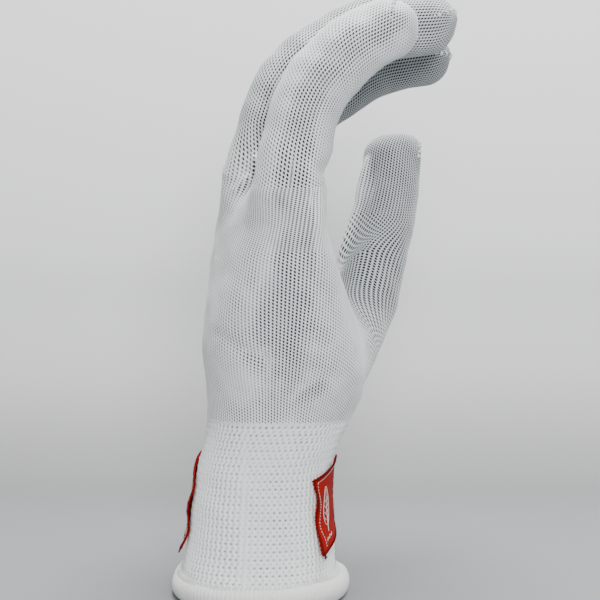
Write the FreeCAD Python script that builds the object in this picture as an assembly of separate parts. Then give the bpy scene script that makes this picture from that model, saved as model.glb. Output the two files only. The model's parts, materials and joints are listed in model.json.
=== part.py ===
import math
import os

import FreeCAD
import Part

# Cut resistant knitted glove, right hand, standing on its cuff in the shape of a hand that is
# about to grip. Millimetres. The origin is the middle of the wrist opening, at the bottom of
# the hem. +X is the palm side, +Y is the thumb side and +Z runs from the cuff to the fingers.
# Every knitted section is a hollow tube that a hand goes into. Where two sections bend against
# each other, both ends are cut back to the plane on which they meet at each end of the travel.

# ---------------------------------------------------------------- driving dimensions
KNIT_WALL = 1.2          # plain knit of the hand and the fingers
CUFF_WALL = 1.6          # ribbed knit of the cuff
THUMB_ROOM = 0.4         # space between the thumb and the side of the hand
HALF_GAP = 0.25          # each section stops this far from the plane where it meets the next
ROUNDNESS = 2.4          # superellipse power of the hand's and the cuff's cross sections
BIG = 260.0              # larger than the glove, for cutting planes
OVERRUN = 3.0            # how far a hollow runs past the end of the wall around it

HEM_TOP = 8.5
WRIST_Z = 56.0           # where the ribbed cuff ends and the plain hand begins
THUMB_CROTCH_Z = 108.0   # where the five-finger hand becomes the four-finger hand
HAND_TOP = 131.0

WRIST_BEND = (-20.0, 25.0)
KNUCKLE_BEND = {"pinky": (-18.0, 40.0), "ring": (-18.0, 40.0), "middle": (-18.0, 40.0),
                "index": (-18.0, 34.0)}
MIDDLE_BEND = {"pinky": (-30.0, 40.0), "ring": (-38.0, 40.0), "middle": (-38.0, 40.0),
               "index": (-28.0, 28.0)}
TIP_RATIO = 0.6          # how far the end joint of a finger bends for each degree of the middle one
THUMB_SWING = (-15.0, 18.0)
THUMB_TIP_BEND = (-40.0, 14.0)
FLEX_AXIS = (0.0, 1.0, 0.0)
THUMB_AXIS = (-0.8, 0.55, -0.1)

# Each row is height, centre X, half depth in X, half width in Y, how far the little-finger side
# leans to the palm.
CUFF_SECTIONS = [
    (7.0, -1.0, 24.9, 31.5, 0.0),
    (16.0, -0.4, 23.7, 30.0, 0.0),
    (24.0, -0.3, 22.6, 29.3, 0.0),
    (33.0, 0.1, 21.9, 29.0, 0.0),
    (42.0, 1.2, 21.4, 29.0, 0.0),
    (49.0, 3.5, 21.9, 29.4, 0.0),
    (56.0, 5.7, 23.2, 30.2, 0.0),
    (60.0, 6.4, 23.9, 31.2, 0.2),
]
HAND_SECTIONS = [
    (52.0, 4.4, 22.4, 29.7, 0.0),
    (56.0, 5.7, 23.2, 30.2, 0.0),
    (63.0, 6.9, 24.6, 32.3, 0.4),
    (70.0, 7.3, 25.6, 34.8, 0.8),
    (79.0, 6.4, 25.6, 38.0, 1.4),
    (92.0, 4.8, 23.0, 41.4, 3.0),
    (105.0, 2.4, 19.4, 43.4, 6.0),
    (118.0, -0.4, 14.8, 44.2, 9.0),
    (HAND_TOP, -1.6, 11.4, 44.2, 11.5),
]
# Height, half depth, half width of the rolled hem's outer surface.
HEM_SECTIONS = [
    (0.0, 26.2, 32.0),
    (1.4, 27.8, 33.6),
    (4.2, 28.3, 34.1),
    (6.9, 27.4, 33.2),
    (8.5, 25.6, 31.4),
]
HEM_HOLE = (23.6, 29.4)  # half depth and half width of the hole through the hem

# Each finger: Y of its plane, then (X, Z) of the root, the knuckle, the middle joint, the end
# joint and the centre of the round tip, and the radii at the knuckle, the middle joint, the end
# joint and the tip.
FINGERS = {
    "pinky": (-33.0, (9.3, 125.0), (10.7, 138.0), (14.8, 155.4), (28.2, 169.6), (38.4, 174.3),
              (10.7, 10.6, 10.2, 9.4)),
    "ring": (-11.0, (-1.6, 125.0), (1.7, 142.0), (8.0, 163.0), (33.0, 179.2), (51.8, 180.2),
             (10.8, 10.8, 10.5, 9.6)),
    "middle": (11.0, (-2.6, 125.0), (0.8, 142.4), (8.2, 167.2), (35.6, 184.0), (53.4, 184.6),
               (10.8, 10.8, 10.5, 9.6)),
    "index": (33.0, (-4.4, 125.0), (2.6, 140.2), (11.0, 157.0), (37.0, 174.6), (54.6, 177.0),
              (10.8, 10.7, 10.3, 9.4)),
}
THUMB_ROOT = (17.0, 21.0, 64.0)
THUMB_JOINTS = [(33.5, 39.5, 92.0), (43.2, 52.6, 126.0)]
THUMB_TIP = (45.6, 55.8, 143.4)
THUMB_RADII = (12.4, 11.2, 10.4)
THUMB_ROOT_RADIUS = 14.5

ELASTIC_SIZE = 0.8       # width and height of each elastic yarn inside the cuff
ELASTIC_PITCH = 5.0
ELASTIC_COUNT = 8
ELASTIC_START = 12.0
YARN_RADIUS = 0.45
HEM_STITCHES = 64
HEM_STITCH_LENGTH = 1.7
TIP_KNOTS = 5
TIP_KNOT_SPREAD = 70.0   # degrees along the fingertip between the first and the last knot

LABEL_SIZE = 23.5        # height of a woven label
LABEL_WIDTH = 24.0
LABEL_THICKNESS = 0.7
LABEL_CLEARANCE = 0.35
LABEL_Z = 29.4
PALM_LABEL_Y = -10.5
BACK_LABEL_Y = -1.0
LABEL_TILT = 13.0
LABEL_STITCHES = 9
LABEL_STITCH_LENGTH = 1.8


def vec(p):
    return FreeCAD.Vector(*p)


def turned(direction, axis, degrees):
    return FreeCAD.Rotation(axis, degrees).multVec(direction)


def beyond(point, normal):
    """The large block on the far side of a plane."""
    block = Part.makeBox(BIG, BIG, BIG, FreeCAD.Vector(-BIG / 2, -BIG / 2, 0))
    block.Placement = FreeCAD.Placement(point, FreeCAD.Rotation(FreeCAD.Vector(0, 0, 1), normal))
    return block


def write(name, shape):
    shape.exportStep(os.path.join("parts", name + ".step"))
    print(name, "valid", shape.isValid(), "solids", len(shape.Solids), round(shape.Volume, 1))


# ---------------------------------------------------------------- cross sections
def section_point(section, angle, grow):
    """A point of a cross section, grown outward by grow. Angle 0 is the thumb side, 90 the palm."""
    z, centre, depth, width, lean = section
    c, s = math.cos(angle), math.sin(angle)
    power = 2.0 / ROUNDNESS
    y = (width + grow) * math.copysign(abs(c) ** power, c)
    x = centre + (depth + grow) * math.copysign(abs(s) ** power, s)
    x += lean * max(0.0, (11.0 - y) / 44.0) ** 2
    return FreeCAD.Vector(x, y, z)


def section_wire(section, grow, points=24):
    curve = Part.BSplineCurve()
    ring = [section_point(section, 2 * math.pi * (i + 0.5) / points, grow) for i in range(points)]
    curve.interpolate(ring, PeriodicFlag=True)
    return Part.Wire(curve.toShape())


def loft(sections, grow):
    return Part.makeLoft([section_wire(s, grow) for s in sections], True, False)


def between(sections, z):
    """The cross section at height z, blended from the two around it."""
    for low, high in zip(sections, sections[1:]):
        if low[0] <= z <= high[0]:
            t = (z - low[0]) / (high[0] - low[0])
            return tuple(a + (b - a) * t for a, b in zip(low, high))
    raise ValueError("no section at that height")


def on_solid(solid, z, angle, lift):
    """A point on a solid's outer surface, seen from the middle in a direction, moved out by
    lift. Angle 0 is the thumb side, 90 degrees the palm."""
    start = FreeCAD.Vector(0, 0, z)
    out = FreeCAD.Vector(math.sin(angle), math.cos(angle), 0)
    inside = Part.makeLine(start, start + out * BIG / 4).common(solid)
    reach = max((corner.Point - start).Length for corner in inside.Vertexes)
    return start + out * (reach + lift)


def stretched(sections, below, above):
    """The same sections with the end ones carried further down and up, for a hollow."""
    first, last = sections[0], sections[-1]
    return [(first[0] - below,) + first[1:]] + sections + [(last[0] + above,) + last[1:]]


# ---------------------------------------------------------------- tubes and hinges
def cone(a, b, ra, rb):
    along = b - a
    if abs(ra - rb) < 1e-6:
        return Part.makeCylinder(ra, along.Length, a, along)
    return Part.makeCone(ra, rb, along.Length, a, along)


def longer(a, b, extra):
    """The line from a to b, made longer at both ends."""
    step = (b - a).normalize() * extra
    return a - step, b + step


class Hinge:
    """Where two sections bend against each other, with the planes that limit both of them."""

    def __init__(self, centre, parent_end, child_end, axis, travel):
        self.centre = centre
        into = (centre - parent_end).normalize()
        out = (child_end - centre).normalize()
        bent = math.degrees(math.atan2(into.cross(out).dot(axis), into.dot(out)))
        stops = [bent + travel[0], bent + travel[1]]
        self.parent_planes = [turned(into, axis, stop / 2) for stop in stops]
        self.child_planes = [turned(out, axis, -stop / 2) for stop in stops]

    def trim_parent(self, shape):
        for normal in self.parent_planes:
            shape = shape.cut(beyond(self.centre - normal * HALF_GAP, normal))
        return shape

    def trim_child(self, shape, gap=HALF_GAP):
        for normal in self.child_planes:
            shape = shape.cut(beyond(self.centre + normal * gap, normal * -1))
        return shape


def rod(start, end, start_radius, end_radius, grow, extra=0.0):
    """A tapered rod that runs a radius past both ends."""
    slope = (end_radius - start_radius) / (end - start).Length
    a, b = longer(start, end, start_radius + extra)
    past = slope * start_radius
    return cone(a, b, start_radius - past + grow, end_radius + past + grow)


def tube(start, end, start_radius, end_radius):
    """A knitted tube between two hinges. It runs a radius past each, ready to be trimmed."""
    hollow = rod(start, end, start_radius, end_radius, -KNIT_WALL, 1.0)
    return rod(start, end, start_radius, end_radius, 0.0).cut(hollow)


def closed_tube(start, tip, start_radius, tip_radius):
    """The last section of a finger, closed by a round tip."""
    slope = (tip_radius - start_radius) / (tip - start).Length
    a = longer(start, tip, start_radius)[0]
    ra = start_radius - slope * start_radius
    outer = cone(a, tip, ra, tip_radius).fuse(Part.makeSphere(tip_radius, tip))
    deeper = longer(a, tip, 1.0)[0]
    hollow = cone(deeper, tip, ra - KNIT_WALL, tip_radius - KNIT_WALL)
    hollow = hollow.fuse(Part.makeSphere(tip_radius - KNIT_WALL, tip))
    return outer.cut(hollow)


def tip_knots(centre, radius, along, across):
    """The row of small knots that closes a fingertip."""
    across = (across - along * across.dot(along)).normalize()
    knots = []
    for i in range(TIP_KNOTS):
        angle = math.radians(TIP_KNOT_SPREAD * (i / (TIP_KNOTS - 1) - 0.5))
        out = along * math.cos(angle) + across * math.sin(angle)
        knots.append(Part.makeSphere(YARN_RADIUS, centre + out * (radius + YARN_RADIUS + 0.05)))
    return Part.makeCompound(knots)


# ---------------------------------------------------------------- fingers and thumb
flex_axis = vec(FLEX_AXIS)
thumb_axis = vec(THUMB_AXIS).normalize()


def finger_points(name):
    y = FINGERS[name][0]
    return [FreeCAD.Vector(x, y, z) for x, z in FINGERS[name][1:6]]


def finger_hinges(name):
    root, knuckle, middle, end, tip = finger_points(name)
    low, high = MIDDLE_BEND[name]
    return [
        Hinge(knuckle, root, middle, flex_axis, KNUCKLE_BEND[name]),
        Hinge(middle, knuckle, end, flex_axis, (low, high)),
        Hinge(end, middle, tip, flex_axis, (low * TIP_RATIO, high * TIP_RATIO)),
    ]


def make_finger(name):
    root, knuckle, middle, end, tip = finger_points(name)
    r_knuckle, r_middle, r_end, r_tip = FINGERS[name][6]
    hinges = finger_hinges(name)
    first = tube(knuckle, middle, r_knuckle, r_middle)
    write(name + "_root", hinges[1].trim_parent(hinges[0].trim_child(first)))
    second = tube(middle, end, r_middle, r_end)
    write(name + "_middle", hinges[2].trim_parent(hinges[1].trim_child(second)))
    last = closed_tube(end, tip, r_end, r_tip)
    write(name + "_tip", hinges[2].trim_child(last))
    write(name + "_tip_knots", tip_knots(tip, r_tip, (tip - end).normalize(), flex_axis))


thumb_points = [vec(THUMB_ROOT)] + [vec(p) for p in THUMB_JOINTS] + [vec(THUMB_TIP)]


def thumb_hinges():
    root, base, end, tip = thumb_points
    return [
        Hinge(base, root, end, thumb_axis, THUMB_SWING),
        Hinge(end, base, tip, thumb_axis, THUMB_TIP_BEND),
    ]


def make_thumb():
    root, base, end, tip = thumb_points
    r_base, r_end, r_tip = THUMB_RADII
    hinges = thumb_hinges()
    first = tube(base, end, r_base, r_end)
    write("thumb_base", hinges[1].trim_parent(hinges[0].trim_child(first)))
    last = closed_tube(end, tip, r_end, r_tip)
    write("thumb_tip", hinges[1].trim_child(last))
    write("thumb_tip_knots", tip_knots(tip, r_tip, (tip - end).normalize(), thumb_axis))


# ---------------------------------------------------------------- hand
wrist_section = between(HAND_SECTIONS, WRIST_Z)
wrist_hinge = Hinge(
    FreeCAD.Vector(wrist_section[1], 0, WRIST_Z),
    FreeCAD.Vector(wrist_section[1], 0, 0),
    FreeCAD.Vector(wrist_section[1], 0, HAND_TOP),
    flex_axis,
    WRIST_BEND,
)


def finger_stub(name, shrink, down, up):
    """The short tube at the top of the hand that a finger bends on."""
    root, knuckle = finger_points(name)[:2]
    radius = FINGERS[name][6][0] - shrink
    a, b = longer(root, knuckle, up)
    return cone(a + (knuckle - root).normalize() * (up - down), b, radius, radius)


def make_hand():
    low_section = between(HAND_SECTIONS, WRIST_Z - 3.9)
    outer = loft(HAND_SECTIONS, 0.0)
    inner_sections = HAND_SECTIONS[:-1] + [(HAND_TOP - KNIT_WALL,) + HAND_SECTIONS[-1][1:]]
    inner = loft([(low_section[0] - OVERRUN - 1,) + low_section[1:]] + inner_sections, -KNIT_WALL)
    root, base = thumb_points[:2]
    thenar_length = (base - root).Length
    past = 6.0
    r_base = THUMB_RADII[0]
    slope = (r_base - THUMB_ROOT_RADIUS) / thenar_length
    mouth = longer(root, base, past)[1]
    thenar = cone(root, mouth, THUMB_ROOT_RADIUS, r_base + slope * past)
    thenar = thumb_hinges()[0].trim_parent(thenar)
    thenar_hollow = cone(root, longer(root, base, past + 1.0)[1],
                         THUMB_ROOT_RADIUS - KNIT_WALL, r_base - KNIT_WALL + slope * past)
    outer = outer.fuse(thenar)
    inner = inner.fuse(thenar_hollow)
    for name in FINGERS:
        outer = outer.fuse(finger_hinges(name)[0].trim_parent(finger_stub(name, 0.0, 0.0, 8.0)))
        inner = inner.fuse(finger_stub(name, KNIT_WALL, 2.0, 9.0))
    thumb_room = rod(base, thumb_points[2], r_base, THUMB_RADII[1], THUMB_ROOM)
    thumb_room = thumb_hinges()[0].trim_child(thumb_room, -HALF_GAP)
    hand = wrist_hinge.trim_child(outer.cut(inner))
    for swing in (THUMB_SWING[0], THUMB_SWING[0] / 2, 0, THUMB_SWING[1] / 2, THUMB_SWING[1]):
        swung = thumb_room.copy()
        swung.rotate(base, thumb_axis, swing)
        hand = hand.cut(swung)
    split = FreeCAD.Vector(0, 0, THUMB_CROTCH_Z)
    up = FreeCAD.Vector(0, 0, 1)
    write("lower_hand", hand.cut(beyond(split, up)))
    write("upper_hand", hand.cut(beyond(split, up * -1)))
    knots = []
    for y in (-22.0, 0.0, 22.0):
        x = section_point(HAND_SECTIONS[-1], math.radians(270), 0.0).x + 3.4
        start = FreeCAD.Vector(x, y - 1.2, HAND_TOP + YARN_RADIUS + 0.05)
        knots.append(Part.makeCylinder(YARN_RADIUS, 2.4, start, FreeCAD.Vector(0, 1, 0)))
    write("finger_crotch_knots", Part.makeCompound(knots))


# ---------------------------------------------------------------- cuff
def make_cuff():
    outer = loft(CUFF_SECTIONS, 0.0)
    inner = loft(stretched(CUFF_SECTIONS, OVERRUN, OVERRUN), -CUFF_WALL)
    write("cuff_rib", wrist_hinge.trim_parent(outer.cut(inner)))


def hem_section(z, depth, width):
    return (z, 0.0, depth, width, 0.0)


def make_hem():
    outer = loft([hem_section(*row) for row in HEM_SECTIONS], 0.0)
    hole = loft([hem_section(-1.0, *HEM_HOLE), hem_section(HEM_TOP + 1.0, *HEM_HOLE)], 0.0)
    roll = outer.cut(hole)
    first = CUFF_SECTIONS[0]
    below = loft([(first[0] - HALF_GAP,) + first[1:], (first[0] + HALF_GAP,) + first[1:]],
                 HALF_GAP)
    write("rolled_hem", roll.cut(below).cut(loft(CUFF_SECTIONS, HALF_GAP)))
    cuff = loft(CUFF_SECTIONS, 0.0)
    stitches = []
    seam_z = HEM_TOP + 0.9
    for i in range(HEM_STITCHES):
        angle = 2 * math.pi * i / HEM_STITCHES
        at = on_solid(cuff, seam_z, angle, YARN_RADIUS + 0.2)
        ahead = on_solid(cuff, seam_z + HEM_STITCH_LENGTH, angle + 0.02, YARN_RADIUS + 0.2)
        stitches.append(Part.makeCylinder(YARN_RADIUS, (ahead - at).Length, at, ahead - at))
    write("hem_overlock_thread", Part.makeCompound(stitches))


def make_elastic():
    rings = []
    for i in range(ELASTIC_COUNT):
        z = ELASTIC_START + i * ELASTIC_PITCH
        section = between(CUFF_SECTIONS, z)
        outside = section_wire(section, -CUFF_WALL - 0.3)
        inside = section_wire(section, -CUFF_WALL - 0.3 - ELASTIC_SIZE)
        ring = Part.Face(outside).cut(Part.Face(inside))
        rings.append(ring.extrude(FreeCAD.Vector(0, 0, ELASTIC_SIZE)))
    write("elastic_yarns", Part.makeCompound(rings))


def label_window(side, y, size_y, size_z):
    """The tilted block that cuts a label out of a skin around the cuff. side is +1 or -1 in X."""
    block = Part.makeBox(60, size_y, size_z, FreeCAD.Vector(0, -size_y / 2, -size_z / 2))
    tilt = FreeCAD.Rotation(FreeCAD.Vector(1, 0, 0), LABEL_TILT)
    face = FreeCAD.Rotation(FreeCAD.Vector(0, 0, 1), 0 if side > 0 else 180)
    block.Placement = FreeCAD.Placement(FreeCAD.Vector(0, y, LABEL_Z), face.multiply(tilt))
    return block


def make_label(name, side, y):
    outside = loft(CUFF_SECTIONS, LABEL_CLEARANCE + LABEL_THICKNESS)
    skin = outside.cut(loft(CUFF_SECTIONS, LABEL_CLEARANCE))
    write(name, skin.common(label_window(side, y, LABEL_WIDTH, LABEL_SIZE)))
    stitches = []
    lift = YARN_RADIUS + 0.15
    for i in range(LABEL_STITCHES):
        across = LABEL_WIDTH * 0.86 * (i / (LABEL_STITCHES - 1) - 0.5)
        ends = []
        for s in (-0.5, 0.5):
            local = FreeCAD.Vector(0, across + s * LABEL_STITCH_LENGTH, LABEL_SIZE / 2 - 2.0)
            place = label_window(side, y, 1, 1).Placement.multVec(local)
            angle = math.atan2(side * CUFF_SECTIONS[2][2], place.y)
            ends.append(on_solid(outside, place.z, angle, lift))
        stitches.append(Part.makeCylinder(YARN_RADIUS * 0.8, (ends[1] - ends[0]).Length,
                                          ends[0], ends[1] - ends[0]))
    write(name + "_stitching", Part.makeCompound(stitches))


os.makedirs("parts", exist_ok=True)
make_cuff()
make_hem()
make_elastic()
make_label("palm_label", 1, PALM_LABEL_Y)
make_label("back_label", -1, BACK_LABEL_Y)
make_hand()
for finger in FINGERS:
    make_finger(finger)
make_thumb()
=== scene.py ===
import json
import math
import bpy
import numpy as np
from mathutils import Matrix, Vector


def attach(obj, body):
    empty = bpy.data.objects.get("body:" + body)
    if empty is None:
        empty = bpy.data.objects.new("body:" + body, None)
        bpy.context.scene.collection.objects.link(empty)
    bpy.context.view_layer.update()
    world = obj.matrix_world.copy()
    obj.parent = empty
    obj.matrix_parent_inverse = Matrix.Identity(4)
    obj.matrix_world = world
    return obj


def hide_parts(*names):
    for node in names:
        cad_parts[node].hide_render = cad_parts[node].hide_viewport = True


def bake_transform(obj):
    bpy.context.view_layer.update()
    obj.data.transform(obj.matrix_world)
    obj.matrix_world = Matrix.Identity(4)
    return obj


# A knitted glove for the right hand. Lengths below are millimetres in the frame of the CAD model:
# +X is the palm side, +Y the thumb side, +Z runs from the cuff to the fingertips. Meshes are
# turned into metres when they are made.

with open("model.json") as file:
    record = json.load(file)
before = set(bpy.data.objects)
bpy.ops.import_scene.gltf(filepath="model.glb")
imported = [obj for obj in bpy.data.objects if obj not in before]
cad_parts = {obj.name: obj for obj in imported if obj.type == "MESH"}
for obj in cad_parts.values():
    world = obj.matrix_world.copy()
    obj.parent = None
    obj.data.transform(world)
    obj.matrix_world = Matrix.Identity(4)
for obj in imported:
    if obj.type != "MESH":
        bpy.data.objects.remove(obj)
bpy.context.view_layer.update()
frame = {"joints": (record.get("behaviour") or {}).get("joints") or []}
MM = 0.001

# ---------------------------------------------------------------- knit
COLUMNS_PER_WALE = 4
ROWS_PER_COURSE = 3
COURSE = 1.0             # length of one stitch along the finger
RELIEF = 0.20            # depth of the valleys between stitches
HOLE_RELIEF = 0.20       # further depth of the small hole beside each stitch
KNIT_WALL = 0.95
CUFF_COURSE = 2.35
CUFF_CELLS = 90
CUFF_STEPS = 6
CUFF_RELIEF = 0.55
CUFF_HOLE_RELIEF = 0.34
CUFF_WALL = 1.2
CUFF_BOTTOM = 4.5        # hidden inside the rolled hem
INNER_STEP = 4           # the inner face is this many times coarser across
INNER_ROWS = 6   # and this many times coarser along

FRONT_WALES = 20         # wales across the palm side, and the back, of one finger
SIDE_WALES = 10          # wales between two fingers
FINGER_COLUMNS = 2 * (FRONT_WALES + SIDE_WALES) * COLUMNS_PER_WALE
WEB_COLUMNS = SIDE_WALES * COLUMNS_PER_WALE
THUMB_ARC_COLUMNS = 54 * COLUMNS_PER_WALE
PALM_ARC_COLUMNS = (8 * FRONT_WALES + SIDE_WALES) * COLUMNS_PER_WALE

# ---------------------------------------------------------------- shape of the hand
ROUNDNESS = 2.4
# Height, centre X, half depth, half width, lean of the little-finger side to the palm.
SECTIONS = np.array([
    (7.0, -1.0, 24.9, 31.5, 0.0),
    (16.0, -0.4, 23.7, 30.0, 0.0),
    (24.0, -0.3, 22.6, 29.3, 0.0),
    (33.0, 0.1, 21.9, 29.0, 0.0),
    (42.0, 1.2, 21.4, 29.0, 0.0),
    (49.0, 3.5, 21.9, 29.4, 0.0),
    (56.0, 5.7, 23.2, 30.2, 0.0),
    (63.0, 6.9, 24.6, 32.3, 0.4),
    (70.0, 7.3, 25.6, 34.8, 0.8),
    (79.0, 6.4, 25.6, 38.0, 1.4),
    (92.0, 4.8, 23.0, 41.4, 3.0),
    (105.0, 2.4, 19.4, 43.4, 6.0),
    (118.0, -0.4, 14.8, 44.2, 9.0),
    (131.0, -1.6, 11.4, 44.2, 11.5),
])
LEAN_REACH = 44.0        # width over which the lean grows toward the little finger
WRIST_Z = 56.0
SWELL_Z = 44.0           # above this the thumb's swell shapes the rings
RING_START = 92.0        # direction, in degrees, where the rings of cuff and wrist start
LOWER_HAND_LENGTH = 54.0     # of the fabric between the wrist and the thumb's crotch
HAND_SPLIT = 0.40        # share of the way up the lower hand where its two pieces meet
CROTCH_Z = 107.5         # height of the ring at the thumb's crotch, away from the web
WEB_BLEND = 9.0          # how softly the thumb runs into the hand
WEB_HALF = 6.0           # half the width of the crotch between thumb and hand
WEB_PLACE = (12.0, 39.0)     # X and Y where its hand side is looked for
WEB_HEIGHTS = (92.0, 128.0)  # and the heights between which it lies
HALF_PITCH = 11.0        # half the distance between two fingers
CORNER_SINE = math.sin(math.radians(60))     # a finger's root meets its neighbour's past this
CORNER = HALF_PITCH / math.tan(math.radians(60))
ROOT_DEPTH = 11.2        # half the depth of a finger at its root
ROOT_DROP = 1.2          # how much lower the roots are than the middles of the crotches
LITTLE_SIDE_Y = -22.0    # the little finger's side of the hand lies beyond this
MIDDLE_WALE_X = (4.6, 6.6)   # where the little finger's outer wale passes wrist and palm
WRIST_THUMB_SHARE = 0.84     # how far round the wrist the thumb's wales start
THUMB_START = (19.0, 20.0, 65.0)
THUMB_START_RADIUS = 13.6
THUMB_TIP = (45.6, 55.8, 143.4)
THUMB_RADII = (12.6, 11.3, 10.4)
THUMB_ROOT_RADIUS = 12.3
THUMB_ROOT_SHARE = 0.42      # how far along its first bone the thumb's root ring is
EASED_COURSES = 15       # of the thumb, above its root
FINGERS = ["pinky", "ring", "middle", "index"]
PHALANXES = ("root", "middle", "tip")
FINGER_ROOT_X = {"pinky": 9.3, "ring": -1.0, "middle": -2.0, "index": -1.4}
TIP_CENTRE = {"pinky": (38.4, 174.3), "ring": (51.8, 180.2), "middle": (53.4, 184.6),
              "index": (54.6, 177.0)}
FINGER_RADII = {"pinky": (10.9, 10.7, 10.5, 10.1, 9.3), "ring": (10.9, 10.8, 10.8, 10.5, 9.6),
                "middle": (10.9, 10.8, 10.8, 10.5, 9.6), "index": (10.9, 10.8, 10.7, 10.3, 9.4)}
# Height of the finger crotches and of the finger roots across the hand.
ROOT_LINE = np.array([(-45, 127.0), (-33, 129.5), (-22, 131.5), (-11, 135.0), (0, 137.8),
                      (11, 138.2), (22, 136.8), (33, 134.0), (45, 130.0)])
ZONE = 9.0               # half the length of fabric about a finger joint
ROOT_REACH = 15.0        # over this length a root ring turns into a round tube
SEAM_THICKNESS = 0.035   # of a tip's closed end, as a share of its radius
UNLINED_TIP = 0.30       # of a tip's radius: the inner face ends this far short
# How far the closed seam of each tip is turned toward the back, in degrees.
SEAM_TURN = {"pinky": 52.0, "ring": 16.0, "middle": 10.0, "index": -6.0, "thumb": 20.0}

# ---------------------------------------------------------------- hem, labels, studio
HEM_RIBS = 150
HEM_RING = (25.9, 31.7)  # half depth and half width of the ring along the roll's middle
HEM_X = -0.3
HEM_SIZE = (2.45, 3.3)   # half thickness and half height of the roll
HEM_COLUMNS = HEM_RIBS * 6
HEM_ROWS = 28
LABEL_SIZE = (24.0, 23.5)
LABEL_Z = 29.4
LABEL_SLOPE = math.tan(math.radians(13))
LABEL_SHEAR = math.sin(math.radians(5))
LABEL_CLOTH = 0.30
LABEL_GRID = (48, 54)
MOTIF_X = -4.4
SWEEP_Y = 0.12           # metres, like the other sizes of the studio
SWEEP_RADIUS = 0.10
CAMERA_PLACE = (0.0123, -0.450, 0.0935)
CAMERA_LENS = 83.7


def joint(name):
    found = next(j for j in frame["joints"] if j["name"] == name)
    return np.array(found["pos_m"]) / MM, np.array(found["axis"], float)


def smooth(a, b, x):
    """0 at a, 1 at b and smooth between them."""
    t = np.clip((x - a) / (b - a), 0.0, 1.0)
    return t * t * (3 - 2 * t)


def hump(*parts):
    """1 in the middle of a soft round hump, given pairs of an offset from it and a half size."""
    return np.exp(-sum((offset / size) ** 2 for offset, size in parts))


def cubic(x, xs, ys):
    """A smooth curve through the points (xs, ys), read at x."""
    slope = np.gradient(ys, xs)
    i = np.clip(np.searchsorted(xs, x) - 1, 0, len(xs) - 2)
    h = xs[i + 1] - xs[i]
    t = np.clip((x - xs[i]) / h, 0.0, 1.0)
    a = (1 + 2 * t) * (1 - t) ** 2
    b = t * (1 - t) ** 2
    c = t * t * (3 - 2 * t)
    d = t * t * (t - 1)
    return a * ys[i] + b * h * slope[i] + c * ys[i + 1] + d * h * slope[i + 1]


def unit(v):
    return v / np.linalg.norm(v, axis=-1, keepdims=True)


def run_of(line):
    """How far along a line each of its points is."""
    return np.r_[0, np.cumsum(np.linalg.norm(np.diff(line, axis=0), axis=1))]


def placed(at, run, line, curve=np.interp):
    """The points of a line at the given runs along it."""
    return np.stack([curve(at, run, line[:, k]) for k in range(line.shape[1])], axis=-1)


def resampled(line, shares):
    """Points at the given shares (0 to 1) of a line's length."""
    run = run_of(line)
    return placed(np.asarray(shares) * run[-1], run, line)


def evenly(line, count):
    return resampled(line, np.linspace(0, 1, count + 1))


# ---------------------------------------------------------------- distance to the hand's surface
def section_at(z):
    """Centre X, half depth, half width and lean of the hand at a height."""
    return (cubic(z, SECTIONS[:, 0], column) for column in SECTIONS.T[1:])


def leaned(lean, y):
    return lean * np.clip((HALF_PITCH - y) / LEAN_REACH, 0, None) ** 2


def reach_of(x, y, depth, width):
    """1 on a rounded outline and less inside it."""
    return (np.abs(x / depth) ** ROUNDNESS + np.abs(y / width) ** ROUNDNESS) ** (1 / ROUNDNESS)


def hand_distance(p):
    centre, depth, width, lean = section_at(np.clip(p[..., 2], SECTIONS[0, 0], SECTIONS[-1, 0]))
    y = p[..., 1]
    x = p[..., 0] - centre - leaned(lean, y)
    return np.hypot(x, y) * (1 - 1 / np.maximum(reach_of(x, y, depth, width), 1e-6))


def segment_distance(p, a, b):
    """Distance from points to a segment, and how far along it the nearest place is."""
    along = b - a
    t = np.clip(((p - a) @ along) / max(along @ along, 1e-9), 0, 1)
    return np.linalg.norm(p - a - t[..., None] * along, axis=-1), t


def line_distance(p, line):
    """Distance from points to a polyline, in as many dimensions as the line has."""
    line = np.array(line, float)
    return np.min([segment_distance(p, a, b)[0] for a, b in zip(line, line[1:])], axis=0)


thumb_swing, thumb_axis = joint("thumb_swing")
thumb_end = joint("thumb_tip_bend")[0]
THUMB_LINE = [(np.array(THUMB_START), thumb_swing, THUMB_START_RADIUS, THUMB_RADII[0]),
              (thumb_swing, thumb_end, THUMB_RADII[0], THUMB_RADII[1]),
              (thumb_end, np.array(THUMB_TIP), THUMB_RADII[1], THUMB_RADII[2])]


def thumb_distance(p):
    best = np.inf
    for a, b, radius_a, radius_b in THUMB_LINE:
        gap, t = segment_distance(p, a, b)
        best = np.minimum(best, gap - (radius_a + (radius_b - radius_a) * t))
    return best


def surface(p):
    a, b = hand_distance(p), thumb_distance(p)
    h = np.clip(WEB_BLEND - np.abs(a - b), 0, None) / WEB_BLEND
    return np.minimum(a, b) - h * h * WEB_BLEND / 4


def settled(p, steps=10):
    """The points moved onto the hand's surface, along its normals."""
    p = np.array(p, float)
    probe, least_slope, longest = 0.05, 0.15, 3.0
    for _ in range(steps):
        d = surface(p)
        g = np.stack([(surface(p + probe * e) - d) / probe for e in np.eye(3)], axis=-1)
        step = np.clip(d / np.maximum((g * g).sum(-1), least_slope), -longest, longest)
        p = p - step[..., None] * g
    return p


def relaxed(grid, rounds=8, passes=20):
    """The rows between the first and the last, eased over the surface so that neither rows nor
    columns cross or bunch up."""
    for _ in range(rounds):
        for _ in range(passes):
            around = (np.roll(grid, 1, axis=1) + np.roll(grid, -1, axis=1))[1:-1]
            grid[1:-1] = (4 * grid[1:-1] + around + grid[:-2] + grid[2:]) / 8
        grid[1:-1] = settled(grid[1:-1], 4)
    return grid


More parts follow.
